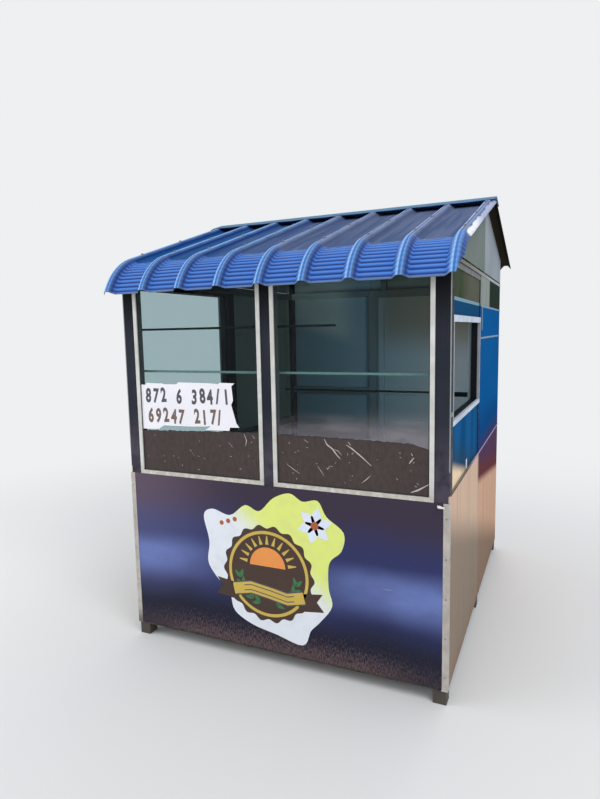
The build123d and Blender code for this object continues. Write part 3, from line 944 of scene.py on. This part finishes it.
def make_roof_screws():
    """Screws with washers on the rib crests, in rows down both slopes."""
    profile = [(0.0085, 0.0), (0.0085, 0.0014), (0.0052, 0.002), (0.0052, 0.0048), (0.0036, 0.0058)]
    rear_up = Vector((0, math.sin(rear_pitch), math.cos(rear_pitch)))
    rear_down = Vector((0, math.cos(rear_pitch), -math.sin(rear_pitch)))
    screws = Solids()
    for centre in rib_centres:
        for distance in front_screw_rows:
            line, outward = along_roof(distance)
            screws.turned((centre, line.y, line.z), outward, profile)
        peak = Vector((centre, peak_y, roof_high.z + ridge_gap * math.sin(front_pitch)))
        for distance in rear_screw_rows:
            screws.turned(peak + rear_down * distance, rear_up, profile)
    zinc = plain("screw_zinc", (150, 154, 160), (118, 122, 130), 0.4, 60.0, metallic=0.6)
    screws.make("roof_screws", zinc, "trim_metal")


make_front_sheet()
make_ridge_cap()
make_roof_screws()


# Glazing beads, rivets and thin strips


def add_frame(solids, low, high, bar, across):
    """Four thin bars round a pane whose width runs along the axis across."""
    inner = (low[across] + bar, high[across] - bar)
    for ends in ((low[across], inner[0]), (inner[1], high[across])):
        start = list(low)
        end = list(high)
        start[across], end[across] = ends
        solids.box(start, end, bar / 4)
    for levels in ((low[2], low[2] + bar), (high[2] - bar, high[2])):
        start = list(low)
        end = list(high)
        start[across], end[across] = inner
        start[2], end[2] = levels
        solids.box(start, end, bar / 4)


def make_beads():
    beads = Solids(smooth=False)
    bead = 0.004
    stand = 0.003
    for name in ("front_glass_left", "front_glass_right"):
        low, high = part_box(name)
        add_frame(beads, (low.x, low.y - stand, low.z), (high.x, low.y, high.z), bead, 0)
    low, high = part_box("left_window_glass")
    add_frame(beads, (low.x - stand, low.y, low.z), (low.x, high.y, high.z), bead, 1)
    beads.make("glazing_beads", gasket_black, "post_dark")


def spread(low, high, margin, count):
    """Evenly spaced places from low to high, the outer ones a margin in."""
    return [low + margin + index * (high - low - 2 * margin) / (count - 1) for index in range(count)]


def make_rivets():
    """Rivets down both legs of the corner trims and along the strips under the gables."""
    rivets = Solids()
    head = [(0.0038, 0.0), (0.0034, 0.0008), (0.0022, 0.0014), (0.0008, 0.0016)]
    inset = 0.010
    trim_low, trim_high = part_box("front_trims")
    strip_low, strip_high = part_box("side_trims")
    for side in (-1, 1):
        for z in spread(trim_low.z, trim_high.z, 0.06, 5):
            rivets.turned((side * (half - inset), trim_low.y, z), (0, -1, 0), head)
            rivets.turned((side * trim_high.x, front + inset, z), (side, 0, 0), head)
        for y in spread(strip_low.y, strip_high.y, 0.09, 8):
            rivets.turned((side * strip_high.x, y, strip_high.z - 0.0075), (side, 0, 0), head)
    rivets.make("trim_rivets", steel, "hinge_steel")


def make_side_lines():
    """Thin pale strips up the front corners and over the upright joint of the side sheets."""
    lines = Solids(smooth=False)
    stand = 0.001
    corner = (half - 0.003, frame_front - stand, frame_front + 0.003, side_sill + 0.095, eave - 0.055)
    joint = (half, bay_start + 0.045, bay_start + 0.065, upper_joint - 0.12, eave - 0.03)
    bracket = (half, frame_front, frame_front + 0.055, side_sill + 0.305, side_sill + 0.322)
    for side in (-1, 1):
        for inner, near, far, low, high in (corner, joint, bracket):
            across = sorted((side * inner, side * (half + stand)))
            lines.box((across[0], near, low), (across[1], far, high))
    lines.make("side_lines", pale_line, "trim_metal")


def make_glass_scrap():
    """Scrap of white film left on the side glass."""
    scrap = Solids(smooth=False)
    thickness = 0.0004
    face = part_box("right_side_glass")[1].x
    low = (face, front + 0.470, side_sill + 0.003)
    high = (face + thickness, front + 0.500, side_sill + 0.045)
    scrap.box(low, high)
    scrap.make("glass_scrap", scrap_white, "frame_white")


make_beads()
make_rivets()
make_side_lines()
make_glass_scrap()


# Flat pieces on the front: sticker, paper and films


class Sheets(Solids):
    """Thin flat pieces that face the front, from (x, z) points about an origin.

    A lift counts thicknesses out from the face that carries them.
    """

    def __init__(self, origin, face, thickness):
        super().__init__(smooth=False)
        self.origin = origin
        self.face = face
        self.thickness = thickness

    def loop(self, outline, lift):
        y = self.face - lift * self.thickness
        return [(self.origin[0] + x, y, self.origin[1] + z) for x, z in outline]

    def plate(self, outline, lift=0):
        area = sum(a[0] * b[1] - b[0] * a[1] for a, b in zip(outline, outline[1:] + outline[:1]))
        line = outline if area > 0 else outline[::-1]
        self.tube([self.loop(line, lift - 1), self.loop(line, lift)])

    def ring(self, outer, inner, lift=0):
        """Closed band between two outlines with as many points each."""
        near = [self.loop(outer, lift), self.loop(inner, lift)]
        self.tube(near + [self.loop(inner, lift - 1), self.loop(outer, lift - 1)], ring=True)

    def stroke(self, points, widths, lift=0):
        """Strip along a line, with a width at each point."""
        left = []
        right = []
        for index, (point, width) in enumerate(zip(points, widths)):
            before = Vector(points[max(0, index - 1)])
            after = Vector(points[min(len(points) - 1, index + 1)])
            along = (after - before).normalized()
            side = Vector((-along.y, along.x)) * width / 2
            left.append(tuple(Vector(point) + side))
            right.append(tuple(Vector(point) - side))
        self.plate(left + right[::-1], lift)


def around(centre, angle, reach):
    return (centre[0] + reach * math.cos(angle), centre[1] + reach * math.sin(angle))


def between(start, end, count):
    """Evenly spaced points from the start on, short of the end."""
    return [tuple(a + (b - a) * index / count for a, b in zip(start, end)) for index in range(count)]


def closed_curve(points, steps):
    """Smooth closed line through the points."""
    line = []
    count = len(points)
    for index in range(count):
        nearby = [points[(index + shift) % count] for shift in (-1, 0, 1, 2)]
        for step in range(steps):
            turn = step / steps
            weights = (
                -0.5 * turn + turn**2 - 0.5 * turn**3,
                1 - 2.5 * turn**2 + 1.5 * turn**3,
                0.5 * turn + 2 * turn**2 - 1.5 * turn**3,
                -0.5 * turn**2 + 0.5 * turn**3,
            )
            line.append(tuple(sum(w * p[axis] for w, p in zip(weights, nearby)) for axis in (0, 1)))
    return line


def circle(centre, radius, steps, lobes=0, depth=0.0):
    """Round or scalloped outline."""
    angles = [2 * math.pi * index / steps for index in range(steps)]
    return [around(centre, angle, radius + depth * math.cos(lobes * angle)) for angle in angles]


def leaf(root, angle, length, width):
    """Pointed leaf from its root."""
    along = Vector((math.cos(angle), math.sin(angle)))
    side = Vector((-along.y, along.x))
    outline = []
    for way, stations in ((1, (0.0, 0.15, 0.4, 0.7, 1.0)), (-1, (0.7, 0.4, 0.15))):
        for share in stations:
            swell = math.sin(math.pi * share**0.8) * width / 2 * way
            outline.append(tuple(Vector(root) + along * length * share + side * swell))
    return outline


# Sticker, drawn about its own middle
sticker_centre = (-0.012, foot + 0.398)
seal_centre = (-0.015, -0.035)
sun_centre = (-0.015, 0.0)
flower_centre = (0.215, 0.215)
ribbon_wave = [(-0.19, -0.128), (-0.10, -0.108), (0.0, -0.122), (0.08, -0.136), (0.16, -0.116)]


def base_print():
    """Cream sheet that turns yellow green towards its upper right."""
    coat = Coat("sticker_base")
    level = coat.plus(coat.above(foot), coat.times(coat.x, 0.8))
    coat.tone = coat.mix(coat.span(level, 0.41, 0.59), (220, 224, 232), (216, 226, 122))
    coat.grime((176, 172, 160), 0.2, 18.0)
    return coat.surface(coat.noise(12.0), 0.35, 0.5, shine=0.25)


def draw_base(sheets):
    edge = [
        (-0.34, 0.20), (-0.29, 0.235), (-0.20, 0.215), (-0.12, 0.27), (-0.05, 0.25), (0.02, 0.315),
        (0.10, 0.345), (0.16, 0.315), (0.23, 0.325), (0.27, 0.26), (0.345, 0.20), (0.335, 0.12),
        (0.28, 0.06), (0.275, -0.05), (0.29, -0.13), (0.235, -0.21), (0.19, -0.26), (0.15, -0.335),
        (0.02, -0.31), (-0.10, -0.285), (-0.19, -0.235), (-0.215, -0.15), (-0.28, -0.09), (-0.325, -0.02),
        (-0.315, 0.08),
    ]
    sheets.plate(closed_curve(edge, 5))


def draw_disc(sheets):
    """Scalloped disc with the notched tails of the ribbon."""
    radius = 0.218
    scallops = 18
    sheets.plate(circle(seal_centre, radius, 8 * scallops, scallops, 0.008), 1)
    tail = [(0.15, -0.10), (0.262, -0.085), (0.235, -0.125), (0.268, -0.165), (0.15, -0.18)]
    for side in (-1, 1):
        sheets.plate([(seal_centre[0] + side * u, v) for u, v in tail], 2)


def ribbon_line():
    line = []
    for start, end in zip(ribbon_wave, ribbon_wave[1:]):
        line += between(start, end, 5)
    return line + ribbon_wave[-1:]


def draw_gold(sheets):
    """Thin ring, rays over the sun and the ribbon."""
    sheets.ring(circle(seal_centre, 0.198, 72), circle(seal_centre, 0.184, 72), 2)
    rays = 11
    for index in range(rays):
        angle = math.pi * (index + 0.5) / rays
        sheets.stroke([around(sun_centre, angle, reach) for reach in (0.102, 0.142)], (0.016, 0.004), 2)
    line = ribbon_line()
    sheets.stroke(line, [0.052] * len(line), 4)


def draw_outlines(sheets):
    """Dark edge of the ribbon and two lines along it."""
    line = ribbon_line()
    sheets.stroke(line, [0.064] * len(line), 3)
    for lift in (0.012, -0.012):
        inner = [(u, v + lift) for u, v in line[3:-3]]
        sheets.stroke(inner, [0.004] * len(inner), 5)


def draw_sun(sheets):
    """Half disc."""
    steps = 30
    sheets.plate([around(sun_centre, math.pi * index / steps, 0.088) for index in range(steps + 1)], 2)


def draw_leaves(sheets):
    """Pairs of leaves in two rows round the lower half of the disc."""
    for side in (-1, 1):
        for index in range(5):
            angle = -math.pi / 2 + side * (0.28 + 0.26 * index)
            root = around(seal_centre, angle, 0.142)
            for lean in (-0.5, 0.5):
                sheets.plate(leaf(root, angle + side * math.pi / 2 + lean, 0.044, 0.018), 2)


def draw_petals(sheets):
    count = 6
    for index in range(count):
        sheets.plate(leaf(flower_centre, 2 * math.pi * index / count + 0.3, 0.082, 0.05), 1)


def draw_dots(sheets):
    """Heart of the flower and three dots in a row."""
    sheets.plate(circle(flower_centre, 0.018, 20), 2)
    for index in range(3):
        sheets.plate(circle((-0.245 + 0.035 * index, 0.175 + 0.012 * index), 0.011, 16), 1)


def make_sticker():
    parts = (
        ("base", draw_base, base_print()),
        ("disc", draw_disc, plain("sticker_brown", (52, 34, 26), (66, 44, 34), 0.4)),
        ("gold", draw_gold, plain("sticker_gold", (206, 178, 82), (186, 156, 64), 0.35)),
        ("outlines", draw_outlines, ink_dark),
        ("sun", draw_sun, plain("sticker_orange", (232, 150, 74), (214, 128, 58), 0.4)),
        ("leaves", draw_leaves, plain("sticker_green", (58, 122, 72), (42, 98, 58), 0.4)),
        ("petals", draw_petals, plain("sticker_pale_blue", (196, 208, 232), (226, 230, 240), 0.4)),
        ("dots", draw_dots, plain("sticker_rust", (178, 92, 48), (150, 74, 40), 0.4)),
    )
    for name, draw, material in parts:
        sheets = Sheets(sticker_centre, front - 0.0004, 0.0003)
        draw(sheets)
        sheets.make("sticker_" + name, material, "panel_front")


def pane_sheets(stand, thickness):
    """Sheets on the face of the front panes, with heights from the counter."""
    return Sheets((0.0, counter), glass_face - stand, thickness)


def numerals(text, rise, start, name, material):
    """Row of painted figures from its left end, at a height over the counter."""
    draw = random.Random(4)
    advance = 0.043
    squeeze = 0.66
    strokes = Solids(smooth=False)
    for index, glyph in enumerate(text):
        if glyph == " ":
            continue
        curve = bpy.data.curves.new("numeral", "FONT")
        curve.body = glyph
        curve.size = 0.090
        curve.offset = 0.0034
        curve.extrude = 0.00015
        curve.resolution_u = 4
        holder = bpy.data.objects.new("numeral", curve)
        mesh = bpy.data.meshes.new_from_object(holder)
        lean = Matrix.Rotation(draw.uniform(-0.08, 0.08), 2)
        left = start + index * advance + draw.uniform(-0.003, 0.003)
        lift = counter + rise + draw.uniform(-0.004, 0.004)
        points = []
        for vertex in mesh.vertices:
            across, up = lean @ Vector((vertex.co.x * squeeze, vertex.co.y))
            points.append((left + across, glass_face - 0.0012 - vertex.co.z, lift + up))
        strokes.add(points, [tuple(face.vertices) for face in mesh.polygons])
        bpy.data.objects.remove(holder)
        bpy.data.curves.remove(curve)
        bpy.data.meshes.remove(mesh)
    strokes.make(name, material, "post_dark")


def make_paper_sign():
    """Paper with torn edges, stuck to the left pane, and rows of painted numerals."""
    paper = pane_sheets(0.0008, 0.0004)
    edge = [
        (-0.699, 0.429), (-0.655, 0.429), (-0.650, 0.438), (-0.560, 0.436), (-0.548, 0.433),
        (-0.478, 0.434), (-0.470, 0.443), (-0.390, 0.443), (-0.300, 0.442), (-0.255, 0.439),
        (-0.245, 0.445), (-0.170, 0.444), (-0.186, 0.431), (-0.180, 0.368), (-0.190, 0.348),
        (-0.166, 0.265), (-0.152, 0.248), (-0.200, 0.246), (-0.204, 0.231), (-0.330, 0.229),
        (-0.300, 0.247), (-0.400, 0.241), (-0.560, 0.239), (-0.590, 0.221), (-0.698, 0.217),
    ]
    paper.plate(edge)
    paper_white = plain("paper_white", (236, 235, 240), (220, 218, 226), 0.6, 7.0)
    ink_brown = plain("ink_brown", (70, 52, 46), (132, 112, 98), 0.6, 60.0)
    paper.make("paper_sign", paper_white, "frame_white")
    numerals("872 6 384/1", 0.350, -0.655, "sign_row_high", ink_dark)
    numerals("69247 217/", 0.256, -0.645, "sign_row_low", ink_brown)


def frayed(line, draw, step=0.010, reach=0.0016):
    """Points along a line, close together and off it by a little either way."""
    points = []
    for start, end in zip(line, line[1:]):
        for x, z in between(start, end, max(1, round((end[0] - start[0]) / step))):
            points.append((x, z + draw.uniform(-reach, reach)))
    return points + [line[-1]]


# Top of the film on each pane, and its longer scratches with their widths
left_film = [(left_pane[0].x, 0.210), (-0.52, 0.215), (-0.30, 0.222), (left_pane[1].x, 0.230)]
right_film = [
    (right_pane[0].x, 0.229), (0.22, 0.227), (0.40, 0.225), (0.600, 0.2215), (0.630, 0.217), (0.655, 0.209),
    (right_pane[1].x, 0.201),
]
long_marks = [
    ([(0.250, 0.221), (0.262, 0.198), (0.284, 0.183), (0.302, 0.161), (0.320, 0.141)], 0.006),
    ([(0.284, 0.183), (0.310, 0.175), (0.326, 0.158)], 0.003),
    ([(0.345, 0.203), (0.372, 0.187), (0.410, 0.158), (0.452, 0.123)], 0.006),
    ([(0.355, 0.215), (0.364, 0.201)], 0.008),
    ([(0.605, 0.144), (0.614, 0.156), (0.624, 0.169)], 0.007),
    ([(0.612, 0.187), (0.618, 0.175)], 0.005),
    ([(0.612, 0.029), (0.640, 0.041), (0.684, 0.069)], 0.008),
    ([(0.219, 0.103), (0.236, 0.081), (0.246, 0.065)], 0.003),
    ([(0.075, 0.103), (0.102, 0.085), (0.135, 0.065)], 0.003),
    ([(0.262, 0.091), (0.272, 0.108)], 0.006),
    ([(0.449, 0.083), (0.430, 0.065), (0.411, 0.049)], 0.004),
    ([(0.160, 0.213), (0.176, 0.201)], 0.006),
    ([(-0.210, 0.178), (-0.190, 0.158)], 0.003),
    ([(-0.130, 0.223), (-0.118, 0.193), (-0.124, 0.168)], 0.005),
    ([(-0.086, 0.217), (-0.078, 0.203)], 0.006),
    ([(-0.420, 0.133), (-0.396, 0.103)], 0.002),
]
short_marks = 46


def make_films():
    """Dark film along the foot of both panes, with a darker rim and scratches through it."""
    draw = random.Random(11)
    film = pane_sheets(0.0003, 0.0002)
    rims = pane_sheets(0.0005, 0.0002)
    for (low, high), edge in ((left_pane, left_film), (right_pane, right_film)):
        top = frayed(edge, draw)
        film.plate([(high.x, low.z - counter), (low.x, low.z - counter)] + top)
        rims.stroke(top, [draw.uniform(0.001, 0.006) for _ in top])
    film.make("glass_films", film_paint(), "panel_front")
    rims.make("film_rims", gasket_black, "post_dark")

    marks = pane_sheets(0.0006, 0.0002)
    for line, width in long_marks:
        marks.stroke(line, [width * 0.3] + [width * 0.8] * (len(line) - 2) + [width * 0.3])
    for _ in range(short_marks):
        low, high = draw.choice((left_pane, right_pane, right_pane))
        x = draw.uniform(low.x + 0.02, high.x - 0.04)
        z = draw.uniform(low.z + 0.02 - counter, 0.198)
        turn = draw.uniform(0, math.pi)
        reach = draw.uniform(0.003, 0.012)
        marks.stroke([(x, z), around((x, z), turn, reach)], (0.0022, 0.0008))
    scratch_pale = plain("scratch_pale", (210, 204, 200), (132, 124, 120), 0.5, 70.0)
    marks.make("film_scratches", scratch_pale, "frame_white")


def make_peeled_strip():
    """Curl of loose film at the right end of the counter line."""
    points = []
    turns = 14
    rows = 5
    for row in range(rows):
        along = row / (rows - 1)
        centre = (front - 0.008, counter - 0.013 - 0.004 * along)
        for index in range(turns + 1):
            radius = 0.006 - 0.002 * index / turns + 0.0015 * math.sin(row * 1.4)
            y, z = around(centre, 1.25 * math.pi * index / turns, radius)
            points.append((half - 0.044 + 0.028 * along, y, z))
    faces = grid(rows, turns + 1)
    thicken(make_mesh("peeled_strip", points, faces, scrap_white), 0.0004)


def make_panel_scratch():
    """Short pale scratch in the front panel, right of the sticker."""
    scratch = Sheets((0.0, 0.0), front - 0.0002, 0.0002)
    line = [(0.498, 0.4435), (0.512, 0.4445), (0.521, 0.4440), (0.540, 0.4450)]
    scratch.stroke(line, [0.0006, 0.0022, 0.0026, 0.0006])
    scratch.make("panel_scratch", pale_line, "frame_white")


make_sticker()
make_paper_sign()
make_films()
make_peeled_strip()
make_panel_scratch()


# Light, floor and camera

backdrop_tone = (0.86, 0.87, 0.88, 1.0)
floor_reach = 40.0
floor_fade = (1.6, 4.8)


def area_light(name, place, target, size, power):
    data = bpy.data.lights.new(name, "AREA")
    data.shape = "DISK"
    data.size = size
    data.energy = power
    light = bpy.data.objects.new(name, data)
    light.location = place
    light.rotation_euler = (Vector(target) - Vector(place)).to_track_quat("-Z", "Y").to_euler()
    light.visible_camera = False
    light.visible_glossy = False
    bpy.context.scene.collection.objects.link(light)


def make_world():
    """Pale backdrop for what is seen, mirrored or seen through glass, and soft light elsewhere."""
    world = bpy.data.worlds.new("studio")
    bpy.context.scene.world = world
    world.use_nodes = True
    tree = Tree(world.node_tree)
    seen = tree.node("ShaderNodeBackground", {"Color": backdrop_tone, "Strength": 1.0}).outputs[0]
    soft = tree.node("ShaderNodeBackground", {"Color": (0.92, 0.96, 1.0, 1.0), "Strength": 0.85}).outputs[0]
    rays = tree.node("ShaderNodeLightPath").outputs
    shown = tree.most(rays["Is Camera Ray"], rays["Is Glossy Ray"], rays["Is Transmission Ray"])
    tree.node("ShaderNodeOutputWorld", {"Surface": tree.join(shown, soft, seen)})


def make_floor():
    """Round pale floor that fades into the colour of the background."""
    sides = 96
    points = [(0.0, 0.0, 0.0)]
    points += [(x, y, 0.0) for x, y in circle((0.0, 0.0), floor_reach, sides)]
    faces = [(0, index + 1, (index + 1) % sides + 1) for index in range(sides)]
    mesh = bpy.data.meshes.new("studio_floor")
    mesh.from_pydata(points, [], faces)
    coat = Coat("studio_floor", (0.72, 0.715, 0.71, 1.0), (0.70, 0.695, 0.69, 1.0), 0.8)
    far = coat.node("ShaderNodeEmission", {"Color": backdrop_tone}).outputs[0]
    reach = coat.node("ShaderNodeVectorMath", {0: coat.place}, operation="LENGTH").outputs["Value"]
    fade = coat.span(reach, *floor_fade)
    mesh.materials.append(coat.close(coat.join(fade, coat.diffuse(coat.tone), far)))
    floor = bpy.data.objects.new("studio_floor", mesh)
    bpy.context.scene.collection.objects.link(floor)


def make_camera():
    data = bpy.data.cameras.new("camera")
    data.sensor_fit = "VERTICAL"
    data.sensor_height = sensor
    data.lens = focal_pixels * sensor / view_height
    camera = bpy.data.objects.new("camera", data)
    ahead = Vector((-math.sin(turn_left), math.cos(turn_left), 0))
    right = Vector((math.cos(turn_left), math.sin(turn_left), 0))
    up = Vector((0, 0, 1))
    gaze = ahead * math.cos(tilt_down) - up * math.sin(tilt_down)
    lifted = ahead * math.sin(tilt_down) + up * math.cos(tilt_down)
    across = right * math.cos(roll) + lifted * math.sin(roll)
    upward = lifted * math.cos(roll) - right * math.sin(roll)
    turn = Matrix((across, upward, -gaze)).transposed().to_4x4()
    camera.matrix_world = Matrix.Translation((eye_right, front - eye_ahead, eye_height)) @ turn
    bpy.context.scene.collection.objects.link(camera)
    bpy.context.scene.camera = camera


make_world()
make_floor()
make_camera()
area_light("key", (3.4, -3.2, 4.6), (0, 0, 1.0), 3.0, 110)
area_light("fill", (-3.8, -3.0, 2.1), (0, 0, 1.1), 3.5, 70)
area_light("rear", (0.5, 4.6, 4.2), (0, 0, 1.0), 3.5, 80)
area_light("room", (0.45, back - 0.90, 1.40), (0.40, back, 1.30), 0.35, 1.2)
bpy.context.scene.view_settings.view_transform = "Standard"
